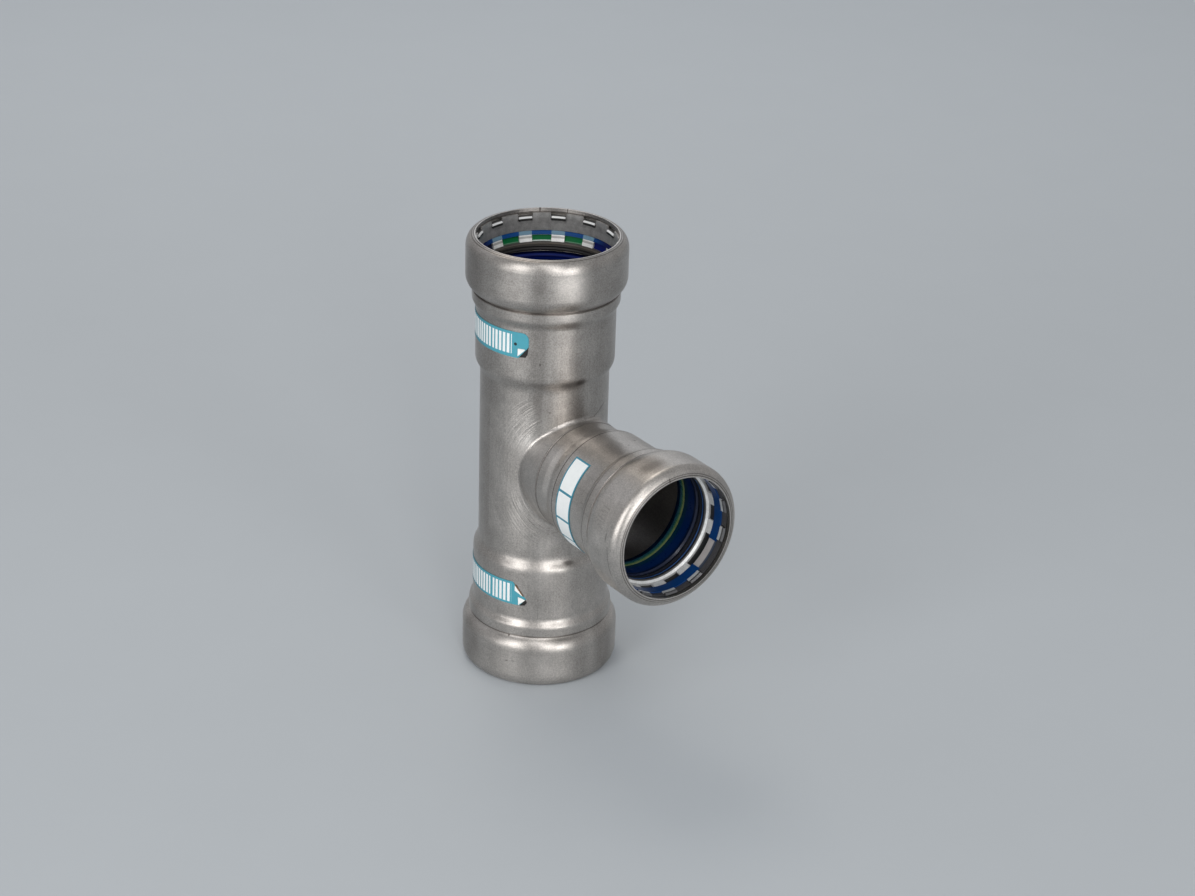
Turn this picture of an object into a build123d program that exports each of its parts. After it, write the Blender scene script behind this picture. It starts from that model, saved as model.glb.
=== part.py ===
from build123d import *
import os
from math import pi

# A reducing press tee in stainless steel. Millimetres, +Z up along the run, +X out along
# the branch. The origin is the centre of the lower rim, on the surface the tee stands on.
# A socket is drawn from its mouth inwards: s is the depth, r the distance from its axis.

# Pipes that the sockets take
run_pipe_d = 48.3
branch_pipe_d = 42.4

# Overall lengths
run_length = 176.2
branch_reach = 86.1
weld_stand_off = 2.35

# Walls and radial sizes over the pipe
wall = 1.6
run_bore_gap = 0.5
branch_bore_gap = 0.4
tube_rise = 0.2
lip_rise = 2.45
bead_rise = 3.55
crease_rise = 3.05
run_collar_rise = 6.05
branch_collar_rise = 6.6

# Lengths along a socket
rim_land = 0.2
run_rim_round = 4.8
branch_rim_round = 3.8
run_collar_length = 15.4
branch_collar_length = 14.2
run_shoulder_length = 5.4
branch_shoulder_length = 6.9
shoulder_edge = 0.7
run_shoulder_lip = 0.6
branch_shoulder_lip = 0.75
crease_width = 0.5
bead_length = 2.85
fade_length = 3.85
run_pocket_length = 19.45
branch_pocket_length = 17.4
run_step_length = 6.6
branch_step_length = 8.1

# Drawn outlet between the run and the branch socket
outlet_root_reach = 10.0
outlet_root_side_clearance = 4.65
outlet_root_half_height = 25.0
saddle_fillet = 1.5
weld_groove = 0.2

# Rings inside a collar, from the mouth inwards
ring_gap = 0.1
sheet = 0.6
tab_width = 5.2
run_tab_ring_gap = 1.3
branch_tab_ring_gap = 0.4
run_tab_length = 1.55
branch_tab_length = 2.6
run_tab_rise = 1.25
branch_tab_rise = 1.9
liner_gap = 0.15
liner_length = 4.0
run_liner_rise = 1.8
branch_liner_rise = 2.4
liner_sheet = 0.65
run_liner_tooth_length = 2.9
branch_liner_tooth_length = 2.05
notch_gap = 0.15
slip_gap = 0.05
slip_sheet = 0.25
split_ring_sheet = 0.35
run_slip_length = 1.4
branch_split_gap_deg = 28.3
grip_sheet = 0.8
grip_gap = 0.15
run_grip_tab_length = 4.05
branch_grip_tab_length = 2.6
run_grip_tip_rise = 2.05
branch_grip_tip_rise = 2.0
run_grip_root_rise = 0.6
branch_grip_root_rise = 1.8
run_grip_edge_length = 0.3
branch_grip_edge_length = 0.5
grip_bite_rise = 0.45
run_spacer_set_back = 1.4
branch_spacer_set_back = 0.1
support_rise = 0.6
run_support_length = 2.4
branch_support_length = 4.1
ridge_height = 0.35
run_seal_gap = 1.4
branch_seal_gap = 0.3
seal_rise = 0.7
seal_lead = 0.8
seal_reach = 0.5
wiper_length = 2.3
wiper_rise = 0.42

# Tabs round the tab ring and the grip ring: one wide space is left between the first and last
tab_count = 12
run_tab_pitch_deg = 28.2
branch_tab_pitch_deg = 28.5
upper_wide_space_deg = -57.6
lower_wide_space_deg = 122.4
branch_wide_space_deg = 322.2

# Labels on the socket walls; angles about the socket axis, from +X on the run
# and from +Y towards +Z on the branch
label_sheet = 0.15
label_gap = 0.03
upper_label_from_bead = 1.4
upper_label_width = 10.1
upper_label_end_deg = -47.8
upper_label_arc_deg = 128.0
upper_label_corner_round = 2.6
upper_label_peel_length = 4.0
upper_label_peel_height = 4.8
lower_label_from_bead = 5.7
lower_label_width = 9.7
lower_label_end_deg = -46.0
lower_label_arc_deg = 128.0
lower_label_cut_top = 5.4
lower_label_cut_height = 6.8
lower_label_cut_foot = 2.7
branch_label_from_bead = 6.4
branch_label_width = 8.6
branch_label_start_deg = 128.0
branch_label_arc_deg = 100.0

os.makedirs("parts", exist_ok=True)


class Stack:
    """The depths of the rings in one collar, each laid behind the one before it."""

    def __init__(self, tab_ring_gap, tab_length, liner_tooth_length, grip_tab_length,
                 grip_edge_length, spacer_set_back, support_length, seal_gap):
        self.tab_front = wall + tab_ring_gap
        self.tab_end = self.tab_front + tab_length
        self.liner_front = self.tab_end + liner_gap
        self.tooth_front = self.liner_front - liner_tooth_length
        self.liner_back = self.liner_front + liner_length
        self.grip_tip = self.liner_back + grip_gap
        self.grip_root = self.grip_tip + grip_tab_length
        self.grip_edge = self.grip_root + grip_edge_length
        self.spacer_front = self.grip_tip + spacer_set_back
        self.support_front = self.grip_edge + grip_sheet + ring_gap
        self.support_back = self.support_front + support_length
        self.seal_front = self.support_back + seal_gap


class Socket:
    """The sizes of one press socket, worked out from the driving values."""

    def __init__(self, pipe_d, bore_gap, collar_rise, rim_round, collar_length,
                 shoulder_length, shoulder_lip, pocket_length, step_length, end_depth):
        self.pipe_r = pipe_d / 2
        self.bore_r = self.pipe_r + bore_gap
        self.pocket_r = self.bore_r + wall
        self.tube_r = self.pipe_r + tube_rise
        self.lip_r = self.pipe_r + lip_rise
        self.bead_r = self.pipe_r + bead_rise
        self.crease_r = self.pipe_r + crease_rise
        self.collar_r = self.pipe_r + collar_rise
        self.rim_round = rim_round
        self.rim_radial = self.collar_r - self.lip_r - rim_land
        self.collar_end = collar_length
        self.crease_s = collar_length + shoulder_length
        self.shoulder_end = self.crease_s - shoulder_edge
        self.shoulder_r = self.crease_r + shoulder_lip
        self.bead_start = self.crease_s + crease_width
        self.bead_end = self.bead_start + bead_length
        self.fade_end = self.bead_end + fade_length
        self.step_start = self.fade_end + pocket_length
        self.step_end = self.step_start + step_length
        self.end_depth = end_depth

    def place(self, s, r):
        return (r, 0, s)


def soft_step(start, end):
    """An S-shaped edge between two parallel lines, level with the axis at both ends."""
    middle = (start[2] + end[2]) / 2
    return Bezier(start, (start[0], 0, middle), (end[0], 0, middle), end)


def wall_edges(sock, inset):
    """The socket's wall line from the rim to its inner end, moved inwards by inset."""
    at = sock.place
    rim_axial = sock.rim_round - inset
    rim_radial = sock.rim_radial - inset
    rim_centre = at(sock.rim_round, sock.collar_r - sock.rim_radial)
    rim_plane = Plane(origin=rim_centre, x_dir=(1, 0, 0), z_dir=(0, 1, 0))
    rim = EllipticalCenterArc((0, 0), rim_radial, rim_axial, start_angle=0, arc_size=90)
    rim = rim_plane * rim
    collar_start = at(sock.rim_round, sock.collar_r - inset)
    collar_end = at(sock.collar_end, sock.collar_r - inset)
    shoulder_end = at(sock.shoulder_end, sock.shoulder_r - inset)
    crease = at(sock.crease_s, sock.crease_r - inset)
    bead_start = at(sock.bead_start, sock.bead_r - inset)
    bead_end = at(sock.bead_end, sock.bead_r - inset)
    pocket_start = at(sock.fade_end, sock.pocket_r - inset)
    pocket_end = at(sock.step_start, sock.pocket_r - inset)
    tube_start = at(sock.step_end, sock.tube_r - inset)
    tube_end = at(sock.end_depth, sock.tube_r - inset)
    return [
        rim,
        Line(collar_start, collar_end),
        TangentArc(collar_end, shoulder_end, tangent=(0, 0, 1)),
        Line(shoulder_end, crease),
        Line(crease, bead_start),
        Line(bead_start, bead_end),
        soft_step(bead_end, pocket_start),
        Line(pocket_start, pocket_end),
        soft_step(pocket_end, tube_start),
        Line(tube_start, tube_end),
    ]


def turned(edges):
    """A solid turned about the socket axis from a closed chain of edges."""
    return revolve(Face(Wire(edges)), axis=Axis.Z)


def socket_outside(sock):
    """The socket as if it were solid."""
    at = sock.place
    rim_start = at(0, sock.collar_r - sock.rim_radial)
    edges = [Line(at(0, 0), rim_start)]
    edges += wall_edges(sock, 0)
    edges += [Line(at(sock.end_depth, sock.tube_r), at(sock.end_depth, 0))]
    edges += [Line(at(sock.end_depth, 0), at(0, 0))]
    return turned(edges)


def socket_inside(sock, inset):
    """The hollow of the socket, with its wall inset thick; the lip stays as it is."""
    at = sock.place
    ahead = -1
    corner_r = sock.collar_r - sock.rim_radial
    lip_r = sock.lip_r - (inset - wall)
    edges = [Line(at(ahead, 0), at(ahead, lip_r)), Line(at(ahead, lip_r), at(inset, lip_r))]
    edges += [Line(at(inset, lip_r), at(inset, corner_r))]
    edges += wall_edges(sock, inset)
    edges += [Line(at(sock.end_depth, sock.tube_r - inset), at(sock.end_depth, 0))]
    edges += [Line(at(sock.end_depth, 0), at(ahead, 0))]
    return turned(edges)


def ring(sock, points):
    """A ring turned from points (s, r), trimmed to clear the socket wall."""
    solid = turned(Polyline([sock.place(s, r) for s, r in points], close=True).edges())
    return solid & socket_inside(sock, wall + ring_gap)


def sector(s0, s1, r0, r1, middle_deg, width_deg):
    """A piece of a ring between two depths, two radii and two angles."""
    face = Face(Wire(Polyline([(r0, 0, s0), (r1, 0, s0), (r1, 0, s1), (r0, 0, s1)],
                              close=True).edges()))
    face = face.rotate(Axis.Z, middle_deg - width_deg / 2)
    return revolve(face, axis=Axis.Z, revolution_arc=width_deg)


def tab_angles(pitch_deg, wide_space_deg):
    """Where the tabs stand: evenly spaced, but for one wide space."""
    wide = 360 - pitch_deg * (tab_count - 1)
    return [wide_space_deg + wide / 2 + pitch_deg * i for i in range(tab_count)]


def arc_deg(length, r):
    return length / r * 180 / pi


def tab_ring(sock, stack, tab_rise, angles):
    """A flat spring ring behind the lip, with tabs bent inwards and back."""
    front = stack.tab_front
    back = front + sheet
    inner = sock.lip_r + ring_gap
    tip_r = sock.pipe_r + tab_rise
    flat = ring(sock, [(front, inner), (back, inner), (back, sock.collar_r),
                       (front, sock.collar_r)])
    tabs = ring(sock, [(front, tip_r + sheet), (back, tip_r), (stack.tab_end, tip_r),
                       (stack.tab_end, tip_r + sheet), (back, tip_r + sheet),
                       (back, inner + sheet), (front, inner + sheet)])
    width = arc_deg(tab_width, tip_r)
    for angle in angles:
        flat += tabs & sector(0, stack.liner_front, tip_r - 1, sock.collar_r, angle, width)
    return flat


def liner_ring(sock, stack, rise, angles):
    """A sheet ring with a flange behind, notched in front where the tabs pass through."""
    front = stack.tooth_front
    back = stack.liner_back
    inner = sock.pipe_r + rise
    outer = inner + liner_sheet
    body = ring(sock, [(front, inner), (back, inner), (back, sock.collar_r),
                       (back - liner_sheet, sock.collar_r), (back - liner_sheet, outer),
                       (front, outer)])
    width = arc_deg(tab_width + 2 * notch_gap, sock.pipe_r)
    for angle in angles:
        body -= sector(front - 1, stack.liner_front, inner - 1, outer + 1, angle, width)
    return body


def grip_line(sock, stack, tip_rise, root_rise):
    """The line of the grip ring's tabs, as points (s, r) from tip to root."""
    return [(stack.grip_tip, sock.pipe_r + tip_rise), (stack.grip_root, sock.pipe_r + root_rise)]


def grip_ring(sock, stack, line, angles):
    """A dished steel ring: a flange on the collar wall, a biting edge and castellated tabs."""
    tip, root = line
    edge = stack.grip_edge
    back = edge + grip_sheet
    bite_r = sock.pipe_r + grip_bite_rise
    body = ring(sock, [tip, root, (edge + grip_sheet / 2, bite_r), (back, bite_r),
                       (back, sock.collar_r), (edge, sock.collar_r),
                       (edge, root[1] + grip_sheet), (root[0], root[1] + grip_sheet),
                       (tip[0], tip[1] + grip_sheet)])
    width = arc_deg(tab_width, tip[1])
    places = sorted(angle % 360 for angle in angles)
    for here, after in zip(places, places[1:] + [places[0] + 360]):
        body -= sector(tip[0] - 1, root[0], root[1] - 2, tip[1] + 2 * grip_sheet,
                       (here + after) / 2, after - here - width)
    return body


def spacer_ring(sock, stack, line):
    """The ring that fills the collar between the liner's flange and the grip ring's flange."""
    tip, root = line
    front = stack.spacer_front
    back = stack.grip_edge - ring_gap
    slope = (root[1] - tip[1]) / (root[0] - tip[0])
    clear = grip_sheet + ring_gap
    front_r = tip[1] + slope * (front - tip[0]) + clear
    return ring(sock, [(front, front_r), (root[0], root[1] + clear), (back, root[1] + clear),
                       (back, sock.collar_r), (front, sock.collar_r)])


def slip_ring(line):
    """A thin ring of blue film lying on the front of the grip ring's tabs."""
    tip, root = line
    slope = (root[1] - tip[1]) / (root[0] - tip[0])
    front = tip[0]
    back = front + run_slip_length
    outer_front = tip[1] - slip_gap
    outer_back = outer_front + slope * run_slip_length
    points = [(front, outer_front), (back, outer_back), (back, outer_back - slip_sheet),
              (front, outer_front - slip_sheet)]
    return turned(Polyline([(r, 0, s) for s, r in points], close=True).edges())


def split_ring(sock, stack, rise, middle_deg):
    """The blue ring inside the liner, cut open over one stretch."""
    outer = sock.pipe_r + rise - slip_gap
    inner = outer - split_ring_sheet
    return sector(stack.liner_front, stack.liner_back, inner, outer, middle_deg + 180,
                  360 - branch_split_gap_deg)


def support_ring(sock, stack):
    """The dark ring behind the grip ring, with two ridges round its bore."""
    low = sock.pipe_r + support_rise
    high = low + ridge_height
    front = stack.support_front
    back = stack.support_back
    quarter = (back - front) / 4
    return ring(sock, [(front, high), (front + quarter, low), (front + 2 * quarter, high),
                       (back - quarter, low), (back, high), (back, sock.collar_r),
                       (front, sock.collar_r)])


def seal_ring(sock, stack):
    """The profile seal: it fills the bead and reaches forward under the shoulder."""
    front = stack.seal_front
    back = sock.bead_end + seal_reach
    inner = sock.pipe_r + seal_rise
    return ring(sock, [(front, inner + seal_lead), (front + seal_lead, inner), (back, inner),
                       (back, sock.bead_r), (front, sock.collar_r)])


def wiper_ring(sock):
    """The ring behind the seal, thinned to nothing where the wall comes in."""
    front = sock.bead_end + seal_reach + ring_gap
    back = front + wiper_length
    return ring(sock, [(front, sock.pipe_r + seal_rise), (back, sock.pipe_r + wiper_rise),
                       (back, sock.bead_r), (front, sock.bead_r)])


def label(sock, depth, width, end_deg, arc):
    """A thin strip wrapped round the socket wall, from its end angle backwards."""
    inner = sock.pocket_r + label_gap
    return sector(depth, depth + width, inner, inner + label_sheet, end_deg - arc / 2, arc)


def corner_cutter(sock, points):
    """A prism through the label from points (angle in degrees, depth) near one angle."""
    middle = sum(a for a, s in points) / len(points)
    across = Plane(origin=(0, 0, 0), x_dir=(0, 1, 0), z_dir=(1, 0, 0)).rotated((0, 0, middle))
    flat = [((a - middle) * pi / 180 * sock.pocket_r, s) for a, s in points]
    outline = across * Polyline([(u, v, 0) for u, v in flat], close=True)
    return extrude(Face(Wire(outline.edges())), amount=2 * sock.pocket_r, dir=across.z_dir)


run_socket = Socket(run_pipe_d, run_bore_gap, run_collar_rise, run_rim_round,
                    run_collar_length, run_shoulder_length, run_shoulder_lip,
                    run_pocket_length, run_step_length, run_length / 2)
weld_reach = run_socket.tube_r + weld_stand_off
branch_sizes = Socket(branch_pipe_d, branch_bore_gap, branch_collar_rise, branch_rim_round,
                      branch_collar_length, branch_shoulder_length, branch_shoulder_lip,
                      branch_pocket_length, branch_step_length, branch_reach - weld_reach)
run_stack = Stack(run_tab_ring_gap, run_tab_length, run_liner_tooth_length,
                  run_grip_tab_length, run_grip_edge_length, run_spacer_set_back,
                  run_support_length, run_seal_gap)
branch_stack = Stack(branch_tab_ring_gap, branch_tab_length, branch_liner_tooth_length,
                     branch_grip_tab_length, branch_grip_edge_length, branch_spacer_set_back,
                     branch_support_length, branch_seal_gap)
centre_z = run_length / 2
lower = Plane.XY
upper = Plane(origin=(0, 0, run_length), x_dir=(1, 0, 0), z_dir=(0, 0, -1))
branch = Plane(origin=(branch_reach, 0, centre_z), x_dir=(0, 1, 0), z_dir=(-1, 0, 0))


def outlet(inset):
    """The drawn outlet: oval at its root inside the run, round where the socket is welded on."""
    root = Plane(origin=(outlet_root_reach, 0, centre_z), x_dir=(0, 1, 0), z_dir=(1, 0, 0))
    mouth = Plane(origin=(weld_reach, 0, centre_z), x_dir=(0, 1, 0), z_dir=(1, 0, 0))
    half_width = run_socket.tube_r - outlet_root_side_clearance
    oval = root * Ellipse(half_width - inset, outlet_root_half_height - inset)
    circle = mouth * Circle(branch_sizes.tube_r - inset)
    return loft([oval, circle])


def on_run_tube(edge):
    """True for an edge that lies on the run tube's skin all along, towards the branch."""
    for t in (0.1, 0.35, 0.6, 0.9):
        point = edge @ t
        off_skin = abs((point.X ** 2 + point.Y ** 2) ** 0.5 - run_socket.tube_r)
        if off_skin > 0.05 or point.X < 1:
            return False
    return edge.geom_type != GeomType.LINE


def weld_cut():
    """The shallow groove round the tube where the branch socket is welded on."""
    r = branch_sizes.tube_r
    points = [(r - weld_groove, weld_reach), (r + weld_groove, weld_reach - 2 * weld_groove),
              (r + weld_groove, weld_reach + 2 * weld_groove)]
    section = Polyline([(x, 0, r) for r, x in points], close=True)
    return Pos(0, 0, centre_z) * revolve(Face(Wire(section.edges())), axis=Axis.X)


def run_body():
    """The run tube with its two sockets formed on it and the outlet drawn out of its side."""
    half = socket_outside(run_socket).rotate(Axis.Z, 180)
    outside = half + upper * half
    outside = outside + outlet(0)
    saddle = [e for e in outside.edges() if on_run_tube(e)]
    outside = fillet(saddle, saddle_fillet)
    hollow = socket_inside(run_socket, wall).rotate(Axis.Z, 180)
    return outside - hollow - upper * hollow - outlet(wall) - weld_cut()


def branch_socket():
    """The branch socket, formed from tube and welded to the end of the outlet."""
    body = socket_outside(branch_sizes) - socket_inside(branch_sizes, wall)
    return branch * body - weld_cut()


def run_rings(name, place, wide_space_deg):
    """The rings of one run socket, as node names and solids in place."""
    sock = run_socket
    stack = run_stack
    angles = tab_angles(run_tab_pitch_deg, wide_space_deg)
    line = grip_line(sock, stack, run_grip_tip_rise, run_grip_root_rise)
    rings = {
        "tab_ring": tab_ring(sock, stack, run_tab_rise, angles),
        "liner_ring": liner_ring(sock, stack, run_liner_rise, angles),
        "slip_ring": slip_ring(line),
        "spacer_ring": spacer_ring(sock, stack, line),
        "grip_ring": grip_ring(sock, stack, line, angles),
        "support_ring": support_ring(sock, stack),
        "seal_ring": seal_ring(sock, stack),
        "wiper_ring": wiper_ring(sock),
    }
    return {name + "_" + kind: place * solid for kind, solid in rings.items()}


def branch_rings():
    """The rings of the branch socket, as node names and solids in place."""
    sock = branch_sizes
    stack = branch_stack
    angles = tab_angles(branch_tab_pitch_deg, -branch_wide_space_deg)
    line = grip_line(sock, stack, branch_grip_tip_rise, branch_grip_root_rise)
    rings = {
        "tab_ring": tab_ring(sock, stack, branch_tab_rise, angles),
        "liner_ring": liner_ring(sock, stack, branch_liner_rise, angles),
        "split_ring": split_ring(sock, stack, branch_liner_rise, -branch_wide_space_deg),
        "spacer_ring": spacer_ring(sock, stack, line),
        "grip_ring": grip_ring(sock, stack, line, angles),
        "support_ring": support_ring(sock, stack),
        "seal_ring": seal_ring(sock, stack),
        "wiper_ring": wiper_ring(sock),
    }
    return {"branch_" + kind: branch * solid for kind, solid in rings.items()}


def upper_label():
    """The upper label: one corner round, the corner below it peeled off."""
    sock = run_socket
    top = sock.fade_end + upper_label_from_bead
    bottom = top + upper_label_width
    end = -upper_label_end_deg
    strip = label(sock, top, upper_label_width, end + upper_label_arc_deg, upper_label_arc_deg)
    peel_deg = arc_deg(upper_label_peel_length, sock.pocket_r)
    strip -= corner_cutter(sock, [(end - 1, bottom + 1), (end - 1, bottom - upper_label_peel_height),
                                  (end, bottom - upper_label_peel_height),
                                  (end + peel_deg, bottom), (end + peel_deg, bottom + 1)])
    middle = end + arc_deg(upper_label_corner_round, sock.pocket_r)
    level = top + upper_label_corner_round
    corner = corner_cutter(sock, [(end - 1, top - 1), (middle, top - 1), (middle, level),
                                  (end - 1, level)])
    post = Plane(origin=(0, 0, level), x_dir=(0, 1, 0), z_dir=(1, 0, 0)).rotated((0, 0, middle))
    corner -= extrude(post * Circle(upper_label_corner_round), amount=3 * sock.pocket_r)
    return upper * (strip - corner)


def lower_label():
    """The lower label: its end is folded away along two slanting cuts."""
    sock = run_socket
    foot = sock.fade_end + lower_label_from_bead
    top = foot + lower_label_width
    knee = top - lower_label_cut_height
    end = lower_label_end_deg
    strip = label(sock, foot, lower_label_width, end, lower_label_arc_deg)
    top_deg = arc_deg(lower_label_cut_top, sock.pocket_r)
    strip -= corner_cutter(sock, [(end + 1, knee), (end, knee), (end - top_deg, top),
                                  (end - top_deg, top + 1), (end + 1, top + 1)])
    foot_deg = arc_deg(lower_label_cut_foot, sock.pocket_r)
    strip -= corner_cutter(sock, [(end + 1, knee), (end + 1, foot - 1), (end - foot_deg, foot - 1),
                                  (end - foot_deg, foot), (end, knee)])
    return strip


def branch_label():
    """The label round the branch socket."""
    sock = branch_sizes
    strip = label(sock, sock.fade_end + branch_label_from_bead, branch_label_width,
                  -branch_label_start_deg, branch_label_arc_deg)
    return branch * strip


nodes = {"run_body": run_body(), "branch_socket": branch_socket()}
nodes.update(run_rings("upper", upper, -upper_wide_space_deg))
nodes.update(run_rings("lower", lower, lower_wide_space_deg))
nodes.update(branch_rings())
nodes["upper_label"] = upper_label()
nodes["lower_label"] = lower_label()
nodes["branch_label"] = branch_label()

for node_name, solid in nodes.items():
    solid.label = node_name
    export_step(solid, "parts/" + node_name + ".step")
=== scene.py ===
# %% [markdown]
# # A reducing press tee in satin stainless steel
# The fitting was measured from a photograph and modelled as solids, with +Z up along the run
# and +X out along the branch. This notebook dresses those solids: it makes the camera, the
# studio, one material for each finish, and the few thin pieces that only the eye needs.

# %% Load the solids
from math import cos, pi, radians, sin

import bmesh
import bpy
from mathutils import Matrix, Vector


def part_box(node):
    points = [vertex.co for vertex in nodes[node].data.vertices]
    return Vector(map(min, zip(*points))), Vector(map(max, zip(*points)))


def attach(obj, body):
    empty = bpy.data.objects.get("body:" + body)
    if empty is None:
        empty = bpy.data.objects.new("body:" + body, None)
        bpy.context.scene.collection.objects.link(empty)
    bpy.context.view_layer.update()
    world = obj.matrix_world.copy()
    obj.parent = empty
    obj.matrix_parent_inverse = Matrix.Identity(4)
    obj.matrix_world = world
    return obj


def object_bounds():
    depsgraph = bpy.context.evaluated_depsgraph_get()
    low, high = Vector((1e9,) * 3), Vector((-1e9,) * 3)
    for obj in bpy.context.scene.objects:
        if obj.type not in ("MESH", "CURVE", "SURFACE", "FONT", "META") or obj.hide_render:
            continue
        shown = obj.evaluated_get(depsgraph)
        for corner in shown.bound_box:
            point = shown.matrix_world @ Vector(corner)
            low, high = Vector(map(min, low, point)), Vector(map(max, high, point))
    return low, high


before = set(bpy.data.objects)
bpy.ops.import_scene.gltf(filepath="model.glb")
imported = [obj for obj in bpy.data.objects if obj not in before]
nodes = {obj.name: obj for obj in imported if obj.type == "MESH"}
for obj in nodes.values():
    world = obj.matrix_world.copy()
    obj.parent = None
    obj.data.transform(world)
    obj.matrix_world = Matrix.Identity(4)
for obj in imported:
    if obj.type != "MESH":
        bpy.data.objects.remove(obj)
mm = 0.001
cad_low, cad_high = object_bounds()
print("pieces", len(nodes), "size in mm", [round(v / mm, 1) for v in cad_high - cad_low])

# %% [markdown]
# ## Where things are
# Every mark on the fitting sits at a certain depth in a socket and at a certain angle round it.
# The places of the big forms are worked out from the boxes of the solids, so that the marks
# stay on them. The run stands on the floor and its axis is the Z axis; the branch axis runs
# along X, half-way up. Depths are measured in millimetres from a mouth inwards.

# %% Places taken from the solids
branch_low, branch_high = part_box("branch_socket")
run_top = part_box("run_body")[1].z / mm
branch_axis_z = (branch_low.z + branch_high.z) / 2 / mm
branch_mouth = branch_high.x / mm
weld_x = branch_low.x / mm
print("branch axis at", round(branch_axis_z, 2), "mm, weld at", round(weld_x, 2), "mm")

# %% Radii and depths of the two kinds of socket
# The outer radius of the tube and of the socket's pocket, and the inner radius of the lip.
run_tube_r, run_pocket_r, run_lip_r = 24.35, 26.25, 26.6
branch_tube_r, branch_pocket_r, branch_lip_r = 21.4, 23.2, 23.65
# The crease behind the collar, the bead, the pocket's start, and both ends of the step.
run_depths = {"crease": 20.8, "bead": 24.15, "pocket": 28.0, "step": 47.45, "tube": 54.05}
branch_depths = {"crease": 21.1, "bead": 24.45, "pocket": 28.3, "step": 45.7, "tube": 53.8}
print("steps end", run_depths["tube"], "and", branch_depths["tube"], "mm in")

# %% [markdown]
# ## The camera
# A product photograph like this one is taken from about a metre with a long lens, a little
# above the object. A long lens keeps the upright edges nearly parallel. The azimuth, the
# height and the slight tilt of the picture come from matching the rims and edges of the
# fitting in the photograph, which is surer than moving the camera by eye.

# %% Camera
camera_azimuth = radians(54.05)
camera_elevation = radians(25.8)
camera_tilt = 0.0324
camera_place = Vector((725.9, -500.7, 515.5)) * mm
camera_lens = 77.2

look = Vector((-sin(camera_azimuth) * cos(camera_elevation),
               cos(camera_azimuth) * cos(camera_elevation), -sin(camera_elevation)))
level = look.cross(Vector((0, 0, 1))).normalized()
rise = level.cross(look)
right = level * cos(camera_tilt) + rise * sin(camera_tilt)
up = rise * cos(camera_tilt) - level * sin(camera_tilt)
turned = Matrix((right, up, -look)).transposed().to_4x4()
camera = bpy.data.objects.new("camera", bpy.data.cameras.new("camera"))
camera.data.lens = camera_lens
camera.data.sensor_width = 36
camera.data.clip_start = 0.05
camera.matrix_world = Matrix.Translation(camera_place) @ turned
bpy.context.scene.collection.objects.link(camera)
bpy.context.scene.camera = camera
print("camera at", [round(v, 3) for v in camera.location])

# %% [markdown]
# ## Shader maths
# A pattern in a material is a formula. It could be wired node by node in the editor, but a
# formula of twenty nodes is hard to read there. Written with plain Python operators it stays
# readable, so this small class wraps a socket that carries a number, and each operator adds
# the Math node that it stands for.

# %% A number that varies over a surface
class Value:
    """A socket that carries a number; arithmetic on it adds Math nodes."""

    def __init__(self, owner, socket):
        self.owner = owner
        self.socket = socket

    def __add__(self, other):
        return self.owner.math("ADD", self, other)

    def __sub__(self, other):
        return self.owner.math("SUBTRACT", self, other)

    def __rsub__(self, other):
        return self.owner.math("SUBTRACT", other, self)

    def __mul__(self, other):
        return self.owner.math("MULTIPLY", self, other)

    def __truediv__(self, other):
        return self.owner.math("DIVIDE", self, other)

    def __gt__(self, other):
        return self.owner.math("GREATER_THAN", self, other)

    def __lt__(self, other):
        return self.owner.math("LESS_THAN", self, other)

    def __abs__(self):
        return self.owner.math("ABSOLUTE", self)

    __radd__ = __add__
    __rmul__ = __mul__


print("reflected forms:", [name for name in vars(Value) if name.startswith("__r")])

# %% [markdown]
# Every other node comes from one method. It takes the node's type, its settings, and what
# goes into its sockets. The settings come first, because some of them, such as the kind of
# data that a Mix node mixes, decide which sockets the node has.

# %% A material and its nodes
class Nodes:
    """A new material with its constant settings, and the method that adds a node to it."""

    def __init__(self, name, **constants):
        self.material = bpy.data.materials.new(name)
        self.material.use_nodes = True
        self.tree = self.material.node_tree
        self.shader = self.tree.nodes["Principled BSDF"]
        for socket, value in constants.items():
            self.shader.inputs[socket.replace("_", " ")].default_value = value

    def feed(self, socket, value):
        if isinstance(value, Value):
            self.tree.links.new(value.socket, socket)
        elif socket.type == "VECTOR":
            socket.default_value = value[:3]
        else:
            socket.default_value = value

    def node(self, kind, settings, inputs, output=0):
        """Adds a node, sets it up, fills its sockets, and returns one of its outputs."""
        made = self.tree.nodes.new("ShaderNode" + kind)
        for key, value in settings.items():
            setattr(made, key, value)
        for key, value in inputs.items():
            self.feed(made.inputs[key], value)
        return Value(self, made.outputs[output])

    def math(self, operation, *values):
        return self.node("Math", {"operation": operation}, dict(enumerate(values)))

    def vector(self, x, y, z):
        return self.node("CombineXYZ", {}, {"X": x, "Y": y, "Z": z})

    def set(self, socket, value):
        self.feed(self.shader.inputs[socket], value)


trial = Nodes("trial")
print("a new material starts with", len(trial.tree.nodes), "nodes")
bpy.data.materials.remove(trial.material)

# %% [markdown]
# A mark is a mask: a number that is 1 on the mark and 0 off it. The masks fade over a soft
# edge, because no edge of a real stain or scratch is perfectly sharp. Bands, ovals and
# straight lines are enough for every mark on this fitting, and noise makes them uneven.

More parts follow.
